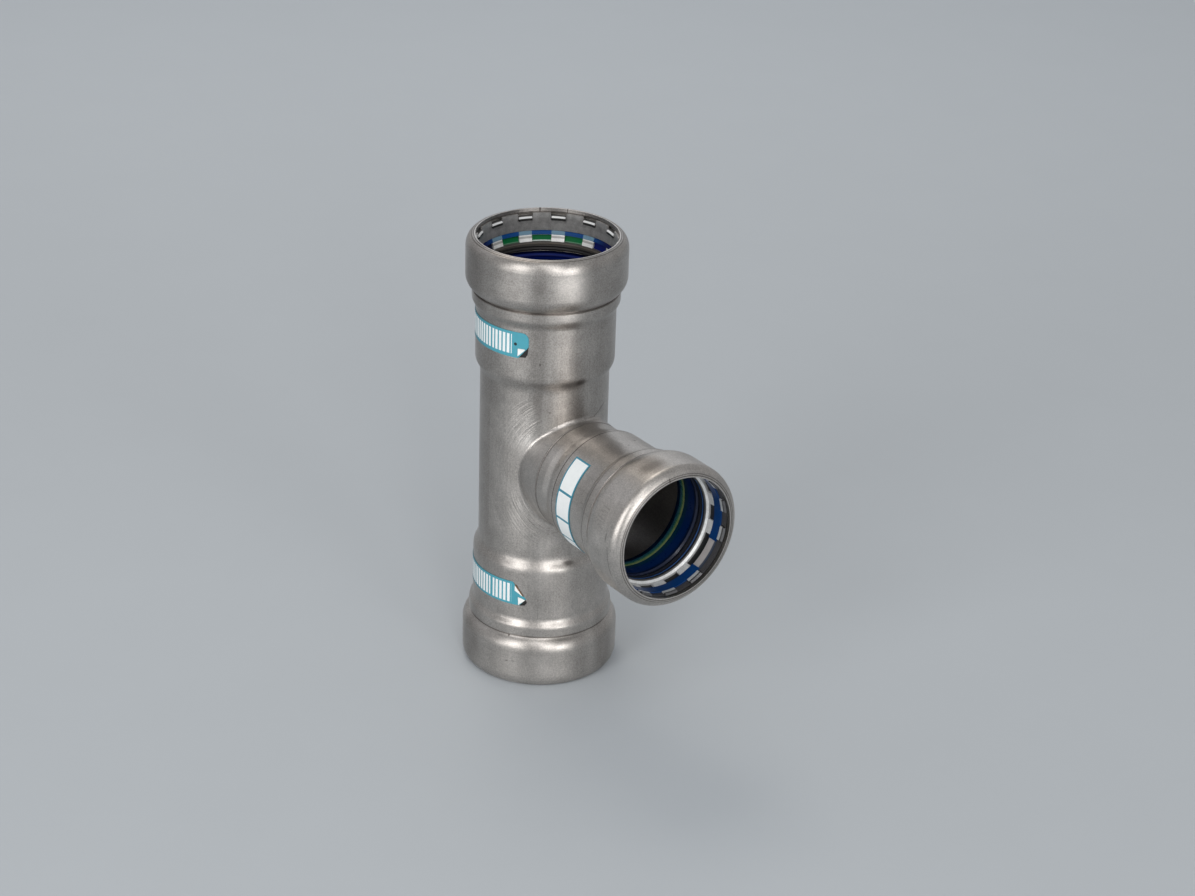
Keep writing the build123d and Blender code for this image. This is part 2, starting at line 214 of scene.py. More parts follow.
# %% Places and masks
class Masks(Nodes):
    """Where a point of the surface is, and masks that follow from that."""

    def place(self):
        """Object coordinates in millimetres, whole and as x, y and z."""
        point = self.node("TexCoord", {}, {}, "Object")
        point = self.node("VectorMath", {"operation": "SCALE"}, {0: point, "Scale": 1 / mm})
        return point, *[self.node("SeparateXYZ", {}, {0: point}, axis) for axis in "XYZ"]

    def turn(self, up, along):
        """The angle in degrees round an axis."""
        return self.math("ARCTAN2", up, along) * (180 / pi)

    def length(self, a, b):
        return self.math("SQRT", a * a + b * b)

    def noise(self, point, scale, detail=3, roughness=0.6):
        """Noise from 0 to 1; scale is in cycles per millimetre of the point given."""
        return self.node("TexNoise", {}, {"Vector": point, "Scale": scale, "Detail": detail,
                                          "Roughness": roughness})

    def ramp(self, value, low, high):
        """0 below low, 1 above high, and a smooth S between."""
        return self.node("MapRange", {"interpolation_type": "SMOOTHSTEP"},
                         {"Value": value, "From Min": low, "From Max": high})

    def band(self, value, low, high, soft):
        """1 between low and high, fading to 0 over the soft width outside."""
        return self.ramp(value, low - soft, low) * (1 - self.ramp(value, high, high + soft))

    def spot(self, u, v, centre, half, edge=0.3):
        """1 in the middle of an oval with these half-widths, fading to 0 at its rim."""
        a = (u - centre[0]) / half[0]
        b = (v - centre[1]) / half[1]
        return 1 - self.ramp(self.length(a, b), edge, 1.0)

    def line(self, u, v, start, end, half):
        """1 along a straight mark from start to end, fading to 0 over its half-width."""
        run, climb = end[0] - start[0], end[1] - start[1]
        reach = (run * run + climb * climb) ** 0.5
        along = ((u - start[0]) * run + (v - start[1]) * climb) / reach
        across = ((v - start[1]) * run - (u - start[0]) * climb) / reach
        return self.band(along, 0.0, reach, half) * (1 - self.ramp(abs(across), 0.0, half))

    def spots(self, u, v, marks, edge=0.3):
        """The sum of many spots, each given as (centre, half-widths, strength)."""
        total = 0.0
        for centre, half, strength in marks:
            total = total + strength * self.spot(u, v, centre, half, edge)
        return total


print("masks:", [name for name in vars(Masks) if not name.startswith("_")])

# %% Colour and relief
class Finish(Masks):
    """A material whose colours and relief follow from masks."""

    def mix(self, share, one, other):
        """One colour turning into the other as the share goes from 0 to 1."""
        return self.node("Mix", {"data_type": "RGBA"},
                         {"Factor": share, 6: one, 7: other}, 2)

    def tint(self, colour, amount):
        """The colour made lighter or darker by a factor that varies."""
        grey = self.vector(amount, amount, amount)
        return self.node("VectorMath", {"operation": "MULTIPLY"}, {0: colour, 1: grey})

    def bump(self, height, strength, distance):
        """Feeds a height in millimetres to the shader's normal."""
        self.set("Normal", self.node("Bump", {}, {"Height": height, "Strength": strength,
                                                  "Distance": distance * mm}))


# %% Colours as a picture shows them
def rgb(red, green, blue):
    """A colour from 0 to 255 as the linear values that a shader needs."""
    def linear(c):
        c /= 255
        return c / 12.92 if c <= 0.04045 else ((c + 0.055) / 1.055) ** 2.4
    return (linear(red), linear(green), linear(blue), 1)


print("middle grey in linear light:", round(rgb(128, 128, 128)[0], 3))

# %% [markdown]
# ## Satin steel
# The tube and the sockets are pickled and lightly brushed stainless steel. The metal is rather
# rough, so it shows broad soft bands and no sharp reflections. One grey with one roughness
# would look like painted plastic. What makes it look real is layered by size: clouds a
# centimetre wide in the colour, streaks drawn along the tube, rings turned round the sockets,
# and a fine grain that breaks the highlights into specks.
#
# Brushing also stretches the highlights. The shader's Anisotropic setting does that, and here
# it draws the light out into upright bands on the run, whose axis is the one that the shader
# turns its brushing about. The branch lies on its side, so there the setting stays at 0.

# %% The steel's own colours
steel_clean = rgb(175, 170, 165)
steel_dull = rgb(167, 162, 157)
# The dark colour serves real marks and painted shade alike.
steel_soot = rgb(70, 64, 60)
# The inside colour is painted shade for the bores.
steel_inside = rgb(152, 150, 149)
# A blue band on the steel wall inside the sockets, 27.4 to 28.9 mm deep.
steel_blued = rgb(16, 58, 100)
print("clean steel", [round(c, 2) for c in steel_clean[:3]])

# %% How strong each layer of the steel is
# The first set lightens, and its edge is a painted highlight; the second is painted shade in the
# crease, the lip's lines, the grooves and inside the lip; the third is relief in millimetres.
lighter = {"cloud": 0.08, "speck": 0.08, "grain": 1.3, "streak": 0.36, "lathe": 0.3, "edge": 0.3,
           "polish": 0.9}
darker = {"crease": 0.6, "lines": 0.7, "grooves": 0.5, "inner": 0.5}
relief = {"grain": 0.03, "speck": 0.03, "streak": 0.06, "lathe": 0.05, "lines": 0.1,
          "grooves": 0.08, "polish": 0.2}
base_shade = 0.97
# The most that marks and painted shade may darken the steel.
most_soot = 0.92
base_roughness = 0.37
print("the strongest layer is the", max(lighter, key=lighter.get))


# %% Steel for a tube with sockets
class Steel(Finish):
    """Satin steel on a turned piece, with places measured from its mouth and round its axis."""

    def __init__(self, name, depths, tube_r, pocket_r, lip_r, brushed=0.0):
        super().__init__(name, Metallic=1.0, Anisotropic=brushed, Anisotropic_Rotation=0.25)
        self.point, self.x, self.y, self.z = self.place()
        self.depths = depths
        self.radii = tube_r, pocket_r, lip_r

    def measure(self, depth, a, b, along):
        """Sets the depth, the radius, the angle, the mask of the inside, and the noises."""
        self.depth = depth
        self.radius = self.length(a, b)
        self.angle = self.turn(b, a)
        tube_r, pocket_r, lip_r = self.radii
        narrow = self.ramp(depth, self.depths["step"], self.depths["tube"])
        outer = pocket_r - (pocket_r - tube_r) * narrow
        self.inside = (self.radius < outer - 0.8) * (depth > self.depths["pocket"] - 3)
        self.cloud = self.noise(self.point, 0.11, 4)
        self.speck = self.noise(self.point, 0.9, 3, 0.7)
        self.grain = self.noise(self.point, 1.9, 2, 0.8)
        self.streak = self.noise(self.vector(a * 1.4, b * 1.4, along * 0.03), 1.0, 4, 0.75)
        self.lathe = self.noise(self.vector(a * 0.02, b * 0.02, along * 2.6), 1.0, 4, 0.75)
        self.turned = 1 - self.ramp(depth, self.depths["bead"], self.depths["pocket"])
        self.blued = self.band(depth, 27.4, 28.9, 0.3)

    def lip_lines(self):
        """Two fine turned lines with painted shade, a painted highlight on the lip's edge, and
        painted shade in a line inside it.
        """
        lip_r = self.radii[2]
        front = 1 - self.ramp(self.depth, 0.7, 1.3)
        lines = self.band(self.radius, lip_r + 0.6, lip_r + 0.75, 0.2)
        lines = lines + 0.8 * self.band(self.radius, lip_r + 1.35, lip_r + 1.5, 0.2)
        edge = self.band(self.radius, lip_r - 0.3, lip_r + 0.3, 0.15) * (self.depth < 0.35)
        inner = (self.radius < lip_r + 0.1) * self.band(self.depth, 1.3, 2.0, 0.2)
        return lines * front, edge, inner

    def finish(self, soot, grooves=0.0, polish=0.0, bright=0.0):
        """Puts the layers together and feeds the shader."""
        lines, edge, inner = self.lip_lines()
        crease = self.band(self.depth, self.depths["crease"] - 0.1, self.depths["crease"] + 0.3, 0.3)
        shade = base_shade + bright + lighter["edge"] * edge + lighter["polish"] * polish
        shade = shade + lighter["cloud"] * (self.cloud - 0.5) + lighter["speck"] * (self.speck - 0.5)
        shade = shade + lighter["grain"] * (self.grain - 0.5)
        shade = shade + lighter["streak"] * (self.streak - 0.5) * (1 - self.turned)
        shade = shade + lighter["lathe"] * (self.lathe - 0.5) * self.turned
        # Painted shade in the crease behind the collar, in the lip's lines and grooves, and inside
        # the lip.
        dark = soot + darker["crease"] * crease * (1 - self.inside) + darker["lines"] * lines
        dark = dark + darker["grooves"] * grooves + darker["inner"] * inner
        dark = self.math("MINIMUM", dark, most_soot)
        colour = self.mix(self.ramp(self.cloud, 0.4, 0.62), steel_dull, steel_clean)
        colour = self.mix(self.inside, colour, steel_inside)
        colour = self.mix(self.blued * self.inside, colour, steel_blued)
        colour = self.mix(dark, self.tint(colour, shade), steel_soot)
        self.set("Base Color", colour)
        rough = base_roughness + 0.04 * (self.cloud - 0.5) + 0.12 * (self.grain - 0.5)
        self.set("Roughness", rough + 0.15 * soot - 0.06 * edge)
        height = relief["grain"] * self.grain + relief["speck"] * self.speck
        height = height + relief["streak"] * self.streak * (1 - self.turned)
        height = height + relief["lathe"] * self.lathe * self.turned + relief["polish"] * polish
        height = height - relief["lines"] * lines - relief["grooves"] * grooves
        self.bump(height, 0.5, 1.0)
        print(self.material.name, "nodes", len(self.tree.nodes))


# %% [markdown]
# ## Marks on the run
# Handling and forming leave marks, and each has its place in the photograph: a few pits, two nicks
# in the back of the upper lip, and a fine dark line above the outlet. The soft dark bands at the
# steps are painted shade of the steps' curves, with a smudge on the upper one. The broad soft
# patches are painted shade and painted light: darker towards the edges of the tube and the collars
# and in upright streaks, lighter where the soft boxes shine. A painted image could hold them all,
# but masks placed by angle and height stay sharp at any distance and can be moved one by one.

# %% Painted shade and dark marks on the run
# Each spot is (centre, half-widths, strength), in degrees round the run and millimetres up it.
# Painted shade: the tube and the collars darker towards their edges and in upright streaks.
run_dull_patches = (
    ((-97, 100), (24, 90), 0.18),
    ((-99, 164), (22, 20), 0.35),
    ((-99, 12), (22, 20), 0.35),
    ((24, 135), (18, 45), 0.14),
    ((22, 12), (16, 20), 0.28),
    ((-2, 12), (9, 16), 0.15),
    ((-40, 135), (10, 42), 0.2),
    ((-39, 117), (7, 9), 0.2),
    ((-30, 117), (6, 8), 0.2),
    ((-39, 168.5), (8, 7), 0.2),
    ((-2, 114), (7, 9), 0.22))
# Painted shade of the steps' curves, with a smudge on the upper step.
run_step_stains = (
    ((-9, 126), (16, 2.6), 0.42),
    ((-3, 126.4), (7, 2.2), 0.4),
    ((-30, 126), (34, 2), 0.2),
    ((-9.5, 51.2), (7, 1.2), 0.6))
run_pits = (
    ((-38.4, 134.9), (0.9, 0.9), 0.6),
    ((-29.2, 114.7), (1.6, 0.5), 0.4),
    ((-59.3, 20.4), (1.0, 0.45), 0.9),
    ((-58.5, 10.6), (1.6, 0.5), 0.45),
    ((-53.8, 10.9), (1.6, 0.4), 0.4))
run_lip_nicks = (
    ((152.1, run_top), (1.2, 2.2), 0.9),
    ((129.5, run_top), (0.45, 3.5), 0.9))
# Each line is (start, end, half-width, strength).
# Fine dark lines on the tube and on the lower socket.
run_scratches = (
    ((3, 110.4), (16, 109.8), 0.5, 0.3),
    ((16, 109.8), (33, 112.8), 0.6, 0.35),
    ((-36.8, 34.5), (-36.0, 28.6), 0.35, 0.4))
print("dark patches and stains", len(run_dull_patches + run_step_stains), "pits", len(run_pits))

# %% Painted light on the run
# Painted light: lighter patches where the soft boxes shine on the collars, the shoulders and round
# the saddle.
run_clean_patches = (
    ((-51, 104), (16, 10), 0.3),
    ((-56, 70), (14, 12), 0.25),
    ((-28, 60), (18, 5), 0.2),
    ((-57, 8), (16, 14), 0.25),
    ((-24, 9), (18, 14), 0.15),
    ((-35, 8), (16, 10), 0.2),
    ((14, 108), (16, 3), 0.2),
    ((-12, 106), (18, 7), 0.4),
    ((-44, 102), (11, 5), 0.35),
    ((-46, 100), (18, 7), 0.25),
    ((-18, 154.7), (26, 4), 0.4),
    ((-12, 167), (15, 10), 0.5),
    ((-24, 167), (7, 8), 0.35),
    ((-32, 48), (18, 12), 0.4))
print("clean patches", len(run_clean_patches))

# %% The run body's steel, with its marks
run_brushing = 0.6
run_steel = Steel("run_steel", run_depths, run_tube_r, run_pocket_r, run_lip_r, run_brushing)
x, y, z = run_steel.x, run_steel.y, run_steel.z
run_steel.measure(run_steel.math("MINIMUM", z, run_top - z), x, y, z)
angle = run_steel.angle
uneven_z = z + 0.9 * (run_steel.speck - 0.5)
soot = run_steel.spots(angle, uneven_z, run_dull_patches + run_step_stains)
soot = soot + run_steel.spots(angle, z, run_pits + run_lip_nicks)
for line_start, line_end, half_width, strength in run_scratches:
    soot = soot + strength * run_steel.line(angle, z, line_start, line_end, half_width)
# Painted light: the lighter patches, and the run painted lighter towards its bottom.
bright = run_steel.spots(angle, z, run_clean_patches, 0.0) + 0.14 * (1 - run_steel.ramp(z, 20, 80))

# %% [markdown]
# At the back of the lip the edge gets a painted highlight. The weld shows as a soft dark line where
# the run's outlet ends, just before the branch.

# %% The back of the lip, and the weld
# Painted highlight on the back of the lip.
back_lip = (run_steel.radius < run_lip_r + 0.6) * (run_steel.depth < 1.2)
bright = bright + 0.6 * back_lip * run_steel.band(angle, 112, 156, 20)
around_branch = run_steel.length(y, z - branch_axis_z)
weld = run_steel.band(x, weld_x - 0.35, weld_x + 0.4, 0.3) * (around_branch < branch_tube_r + 0.6)
soot = soot + 0.35 * weld + 0.2 * weld * run_steel.speck

# %% [markdown]
# A polishing belt went round the saddle and left fine strokes in arcs about the branch axis.
# The arcs are drawn as if the tube's wall were unrolled flat: the distance round the tube and
# the height give a radius and a turn, and noise that changes fast along the radius and slowly
# along the turn makes strokes.

# %% Strokes of the polishing belt
arc = angle * (pi / 180 * run_tube_r)
stroke_r = run_steel.length(arc, z - branch_axis_z)
stroke_turn = run_steel.turn(z - branch_axis_z, arc)
strokes = run_steel.noise(run_steel.vector(stroke_r * 1.7, stroke_turn * 0.03, 0.0), 1.0, 2, 0.6)
near_saddle = run_steel.band(around_branch, 22.5, 33.0, 5.0) * (x > 0.0)
near_saddle = near_saddle * run_steel.ramp(0 - y, 8, 16)
polished_patches = (((-54, 111), (22, 15), 1.0), ((-48, 72), (24, 14), 1.0))
polished = 0.2 + run_steel.spots(angle, z, polished_patches)
polish = 2.0 * (strokes - 0.47) * near_saddle * polished
# Painted light round the saddle.
bright = bright + 0.14 * near_saddle

# %% [markdown]
# The steel is painted darker inside, as painted shade in the bores. The tube's inside follows from
# the radius alone. The outlet's does not: its bore starts as an oval in the side of the run and ends
# round at the weld, so its mask is an ellipse whose half-widths change along the way.

# %% The inside of the outlet
outlet_r = 20.6
oval_half_width, oval_half_height = 18.9, 24.2
rounding = run_steel.ramp(x, 10.0, weld_x)
half_width = oval_half_width + (outlet_r - oval_half_width) * rounding
half_height = oval_half_height + (outlet_r - oval_half_height) * rounding
in_outlet = run_steel.length(y / half_width, (z - branch_axis_z) / half_height) < 1.0
run_steel.inside = run_steel.math("MAXIMUM", run_steel.inside, in_outlet * (x > 12.0))
run_steel.finish(soot, polish=polish, bright=bright)

# %% [markdown]
# ## Marks on the branch socket
# The branch socket has a crisp line where its step meets the pocket and a fine line beside its bead,
# both painted shade of the creases there. It also has short ticks from the forming die on the
# collar, two pits on top and a nick in the lip. Its patches are painted shade and painted light, in
# degrees round the branch and millimetres of depth.

# %% Patches on the branch socket
# Mostly painted shade on the top of the collar and socket and on the neck; among them two pits and a
# nick in the lip.
branch_dull_patches = (
    ((73.8, 36.6), (2.2, 0.6), 0.6),
    ((86.9, 33.2), (1.8, 0.6), 0.4),
    ((97, 36), (9, 5), 0.2),
    ((105, 8.6), (16, 3), 0.16),
    ((103, 9.5), (15, 9), 0.45),
    ((150, 28), (38, 9), 0.2),
    ((169, 6.3), (5, 0.6), 0.4),
    ((100.9, -0.1), (1.2, 0.8), 0.6))
# Painted light on the socket and the collar.
branch_clean_patches = (
    ((104, 41), (16, 8), 0.35),
    ((111, 47), (15, 6), 0.35),
    ((155, 9), (30, 9), 0.15),
    ((172, 9.5), (14, 8), 0.2))
print("branch patches", len(branch_dull_patches + branch_clean_patches))

# %% The branch socket's steel
branch_steel = Steel("branch_steel", branch_depths, branch_tube_r, branch_pocket_r, branch_lip_r)
x, y, z = branch_steel.x, branch_steel.y, branch_steel.z
branch_steel.measure(branch_mouth - x, y, z - branch_axis_z, x)
depth = branch_steel.depth
angle = branch_steel.angle + 360 * (branch_steel.angle < 0)
outside = 1 - branch_steel.inside
soot = branch_steel.spots(angle, depth, branch_dull_patches)
soot = soot + 0.45 * branch_steel.line(angle, depth, (176, 4.7), (199, 3.6), 0.4)
ticks = branch_steel.noise(branch_steel.vector(angle * 0.9, depth * 0.12, 0.0), 1.0, 2)
ticked = branch_steel.band(angle, 148, 166, 3) * branch_steel.band(depth, 9.5, 12.5, 1.2)
soot = soot + 0.2 * branch_steel.ramp(ticks, 0.5, 0.62) * ticked

# %% Lines round the branch socket
step, bead = branch_depths["step"], branch_depths["bead"]
# Painted shade in the crease lines at the step and beside the bead.
step_line = branch_steel.band(depth, step + 0.5, step + 0.6, 0.25) * outside
bead_line = branch_steel.band(depth, bead + 0.2, bead + 0.4, 0.3) * outside
weld = branch_steel.band(x, weld_x - 0.4, weld_x + 0.4, 0.5) * outside
soot = soot + 0.4 * step_line + 0.4 * bead_line + 0.4 * weld + 0.3 * weld * branch_steel.speck
# The step's foot gets a painted highlight, and the whole branch is painted a little lighter.
step_foot = branch_steel.band(depth, 52.3, 54.3, 1.6) * branch_steel.band(angle, 130, 172, 14)
bright = 0.14 + branch_steel.spots(angle, depth, branch_clean_patches, 0.0) + 0.4 * step_foot
branch_steel.finish(soot, grooves=step_line, bright=bright)

# %% [markdown]
# ## The rings inside the sockets
# A press socket is full of small rings: a spring ring with tabs, a steel liner, a blue slip ring,
# the castellated grip ring, a dark support ring, the blue seal and a green ring behind it. They are
# sheet steel, hard plastic and rubber. The folds and rims on them are finer than is worth modelling,
# but each runs right round its ring at one depth. So each ring gets one plain, slightly uneven
# colour, and narrow stripes at set depths, most of them painted shade, shadows, highlights and
# reflections of those folds and rims.

# %% Three ways to measure a depth
def run_depth(finish, x, y, z):
    """The depth from the nearer mouth of the run."""
    return finish.math("MINIMUM", z, run_top - z)


def branch_depth(finish, x, y, z):
    """The depth from the mouth of the branch."""
    return branch_mouth - x


def run_tab_depth(finish, x, y, z):
    """The depth on a tab of the run's tab ring, less on the top of the tab, out to the wall."""
    tab_slope, tab_top_r = 0.8, 25.4
    return run_depth(finish, x, y, z) - tab_slope * (finish.length(x, y) - tab_top_r)


print("the run's mouths are at depth 0, its middle at", round(run_top / 2, 1), "mm")

# %% A plain finish with stripes at set depths
def plain(name, colour, roughness, metallic=0.0, uneven=0.12, coat=0.0, shine=0.5, depth=run_depth,
          stripes=()):
    """A finish of one colour; a stripe is (start, end, soft edge, share, colour)."""
    finish = Finish(name, Metallic=metallic, Coat_Weight=coat, Specular_IOR_Level=shine)
    point, x, y, z = finish.place()
    cloud = finish.noise(point, 0.5, 4)
    grain = finish.noise(point, 3.0, 2)
    from_mouth = depth(finish, x, y, z)
    for start, end, soft, share, other in stripes:
        colour = finish.mix(share * finish.band(from_mouth, start, end, soft), colour, other)
    shade = 1 + 2 * uneven * (cloud - 0.5) + 1.5 * uneven * (grain - 0.5)
    finish.set("Base Color", finish.tint(colour, shade))
    finish.set("Roughness", roughness + 0.15 * (cloud - 0.5) + 0.1 * (grain - 0.5))
    finish.bump(0.02 * grain + 0.03 * cloud, 0.5, 1.0)
    print(name, "stripes", len(stripes))
    return finish


# %% Finishes of the sheet steel rings
shadow = rgb(30, 28, 28)
# The colour below the tabs' roots is painted shade.
rust = rgb(58, 50, 44)
# The grey stripe on the top of the tabs is painted shade under the lip; the shadow stripe below is
# painted shadow.
run_tabs = plain(
    "run_tabs", rgb(240, 240, 238), 0.35, metallic=0.6, depth=run_tab_depth,
    stripes=((1.0, 2.45, 0.12, 0.9, rgb(104, 102, 100)),
             (3.6, 5.0, 0.12, 0.95, shadow)))
# The dark stripe on the mouth side of the tabs is painted shade.
branch_tabs = plain(
    "branch_tabs", rgb(236, 238, 240), 0.35, metallic=0.6, depth=branch_depth,
    stripes=((1.0, 3.2, 0.15, 0.9, rgb(60, 58, 60)),))
liner_steel = plain(
    "liner_steel", rgb(186, 184, 182), 0.4, metallic=0.7, uneven=0.45,
    stripes=((3.9, 5.4, 0.8, 0.15, shadow),))
# The dark grey stripe is painted shadow between the tabs.
branch_liner = plain(
    "branch_liner", rgb(204, 198, 196), 0.4, metallic=0.4, depth=branch_depth,
    stripes=((2.0, 4.7, 0.1, 0.92, rgb(52, 52, 56)),
             (4.7, 5.4, 0.5, 0.9, rgb(40, 58, 84))))
# Painted shade in the fold of the tabs and below their roots, and a painted highlight on the
# flange's edge.
run_grip = plain(
    "run_grip", rgb(240, 239, 236), 0.42, metallic=0.3, uneven=0.2,
    stripes=((8.0, 8.85, 0.1, 0.6, shadow),
             (10.9, 11.3, 0.35, 0.6, rgb(110, 104, 100)),
             (12.75, 14.0, 0.15, 0.92, rust),
             (13.35, 13.45, 0.1, 0.5, rgb(150, 138, 122))))
branch_grip = plain(
    "branch_grip", rgb(216, 216, 215), 0.42, metallic=0.25, uneven=0.35, depth=branch_depth,
    stripes=((12.15, 13.0, 0.08, 0.92, shadow),
             (11.35, 11.5, 0.12, 0.4, shadow)))

# %% Finishes of the plastic rings
blue_plastic = plain("blue_plastic", rgb(8, 52, 104), 0.35, coat=0.15, shine=0.3)
black_plastic = plain("black_plastic", rgb(16, 17, 20), 0.4, coat=0.2)
# The pale stripe is a painted highlight on the ring's front edge.
run_support = plain(
    "run_support", rgb(42, 40, 40), 0.45, shine=0.25,
    stripes=((14.0, 14.2, 0.15, 0.5, rgb(130, 122, 108)),))
# The near-black stripes are painted shade, and the blue stripe is a painted reflection.
branch_support = plain(
    "branch_support", rgb(34, 35, 42), 0.35, depth=branch_depth,
    stripes=((12.9, 13.4, 0.1, 0.8, rgb(4, 8, 20)),
             (13.8, 14.1, 0.12, 0.95, rgb(52, 100, 168)),
             (15.9, 17.0, 0.3, 0.8, rgb(4, 10, 20))))

# %% Finishes of the rubber rings
# The lighter blue stripes are painted highlights.
run_seal = plain(
    "run_seal", rgb(0, 14, 74), 0.35, shine=0.2,
    stripes=((18.0, 18.3, 0.2, 0.5, rgb(8, 40, 126)),
             (19.4, 19.6, 0.2, 0.5, rgb(8, 40, 126))))
# The pale line at the seal's front edge is a painted highlight.
branch_seal = plain(
    "branch_seal", rgb(0, 36, 88), 0.3, coat=0.15, shine=0.3, depth=branch_depth,
    stripes=((17.3, 17.35, 0.05, 0.6, rgb(100, 116, 160)),
             (17.7, 19.0, 0.4, 0.75, rgb(6, 12, 26)),
             (23.8, 25.0, 1.4, 0.7, rgb(6, 56, 62))))
# The pale olive stripe is a painted highlight.
wiper_rubber = plain(
    "wiper_rubber", rgb(58, 106, 78), 0.28, coat=0.4, depth=branch_depth,
    stripes=((25.1, 25.6, 0.4, 0.6, rgb(150, 156, 98)),
             (26.6, 27.4, 0.35, 0.8, rgb(14, 66, 96))))

# %% [markdown]
# The slip ring is thin film: where it lies on a tab of the grip ring the bright metal shows
# through it, and between the tabs it looks dark blue. The spacer ring under it is green where
# it shows between the tabs at the back, and looks blue at both sides, in the film's shade.
# Real see-through film would need many light bounces inside the socket. Painting what shows
# through by the angle round the run gives the same picture at no cost.

# %% Finishes that follow the tabs round the run
tab_pitch = 28.2
first_tab = -32.7
tab_half_width = 5.7


def tab_turn(finish, x, y, z):
    """The angle round the run in degrees, counted from the wide space of that end's rings."""
    flip = 2 * (z > branch_axis_z) - 1
    turn = finish.turn(y * flip, x * flip)
    return turn + 360 * (turn < first_tab - 2 * tab_half_width)


print("tabs round the run:", int(360 / tab_pitch), "and one wide space")

# %% The slip ring's film
slip_film = Finish("slip_film", Specular_IOR_Level=0.2)
point, x, y, z = slip_film.place()
turn = tab_turn(slip_film, x, y, z)
tabs_on = slip_film.math("FRACT", (turn + (2.5 * tab_pitch - first_tab)) / tab_pitch) - 0.5
over_tab = 1 - slip_film.ramp(abs(tabs_on) * tab_pitch, tab_half_width - 0.3, tab_half_width + 0.3)
grain = slip_film.noise(point, 2.0, 3)
over_tab = over_tab * (1 - slip_film.band(turn, 50, 100, 4))
at_back = slip_film.band(turn, 110, 190, 25)
between = slip_film.mix(at_back, rgb(2, 12, 70), rgb(0, 66, 128))
film = slip_film.mix(over_tab, between, rgb(112, 144, 164))
slip_film.set("Base Color", slip_film.tint(film, 0.85 + 0.3 * grain))
slip_film.set("Roughness", 0.45 + 0.1 * grain)
slip_film.bump(0.02 * grain, 0.4, 1.0)
print("slip film nodes", len(slip_film.tree.nodes))

# %% The spacer ring, which shows between the tabs
run_spacer = Finish("run_spacer", Specular_IOR_Level=0.15)
point, x, y, z = run_spacer.place()
turn = tab_turn(run_spacer, x, y, z)
grain = run_spacer.noise(point, 2.0, 3)
at_back = run_spacer.band(turn, 110, 192, 2)
at_right = run_spacer.band(turn, 60, 108, 3)
colour = run_spacer.mix(at_back, rgb(2, 8, 44), rgb(0, 106, 56))
colour = run_spacer.mix(at_right, colour, rgb(0, 16, 92))
from_mouth = run_depth(run_spacer, x, y, z)
# Painted glints along the two edges of the green field.
worn = run_spacer.band(from_mouth, 10.3, 10.6, 0.1) + run_spacer.band(from_mouth, 12.5, 12.8, 0.1)
worn = worn * (0.15 * at_back + 0.75 * run_spacer.band(turn, 141, 160, 1))
colour = run_spacer.mix(worn, colour, rgb(225, 235, 230))
run_spacer.set("Base Color", run_spacer.tint(colour, 0.85 + 0.3 * grain))
run_spacer.set("Roughness", 0.45 + 0.1 * grain)
run_spacer.bump(0.02 * grain, 0.4, 1.0)
print("spacer nodes", len(run_spacer.tree.nodes))

# %% [markdown]
# ## Labels
# The labels are thin printed film. An image would need the label unwrapped flat first. Drawn in
# the material from the angle round the socket and the height, the print needs no unwrapping
# and has crisp edges at any distance. On the two teal labels it is a row of plain upright
# bars, and on the branch label four plain white panels with thin teal lines between them.

# %% Label print
teal = rgb(70, 152, 168)
teal_dark = rgb(44, 112, 128)
print_white = rgb(232, 235, 234)
bar_pitch = 3.9
print("one bar every", bar_pitch, "degrees")


def bars_label(name, bottom, top, first_deg, gap_deg, dot):
    """Teal film with painted shade towards its far end, upright white bars and perhaps a dot."""
    finish = Finish(name, Roughness=0.45)
    point, x, y, z = finish.place()
    angle = finish.turn(y, x)
    cloud = finish.noise(point, 0.4, 4)
    phase = finish.math("FRACT", (angle + 360) / bar_pitch)
    bars = finish.band(phase, 0.2, 0.8, 0.04)
    rows = finish.band(z, bottom, top, 0.1)
    far_end_deg = -200
    block = finish.band(angle, far_end_deg, first_deg, 0.2)
    block = block * (1 - finish.band(angle, *gap_deg, 0.1))
    # Painted shade: the teal darkens as the label turns away round the socket.
    colour = finish.mix(finish.ramp(angle, -125, -70), teal_dark, teal)
    colour = finish.mix(bars * rows * block, colour, print_white)
    if dot:
        oval = finish.spot(angle, z, dot, (1.45, 0.65), 0.85)
        colour = finish.mix(oval, colour, rgb(25, 30, 30))
    finish.set("Base Color", finish.tint(colour, 0.93 + 0.14 * cloud))
    finish.bump(0.01 * cloud, 0.3, 1.0)
    print(name, "bars from", bottom, "to", top, "mm up")
    return finish


upper_print = bars_label("upper_print", bottom=138.1, top=145.7, first_deg=-62.3,
                         gap_deg=(-83.2, -82.0), dot=(-58.9, 142.1))
lower_print = bars_label("lower_print", bottom=34.6, top=42.4, first_deg=-59.0,
                         gap_deg=(-80.7, -78.0), dot=None)

# %% The branch label's panels
label_rim = 0.65
half_divider = 1.0
branch_print = Finish("branch_print", Roughness=0.45)
point, x, y, z = branch_print.place()
turn = branch_print.turn(z - branch_axis_z, y)
turn = turn + 360 * (turn < 0)
cloud = branch_print.noise(point, 0.4, 4)
label_low, label_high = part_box("branch_label")
white = branch_print.band(x, label_low.x / mm + label_rim, label_high.x / mm - label_rim, 0.1)
white = white * branch_print.band(turn, 129.8, 226.2, 0.25)
for divider in (162, 188, 210):
    teal_line = branch_print.band(turn, divider - half_divider, divider + half_divider, 0.25)
    white = white * (1 - teal_line)
colour = branch_print.mix(white, rgb(52, 128, 148), print_white)
branch_print.set("Base Color", branch_print.tint(colour, 0.93 + 0.14 * cloud))
branch_print.bump(0.01 * cloud, 0.3, 1.0)
print("branch label from", round(label_low.x / mm, 1), "to", round(label_high.x / mm, 1), "mm")

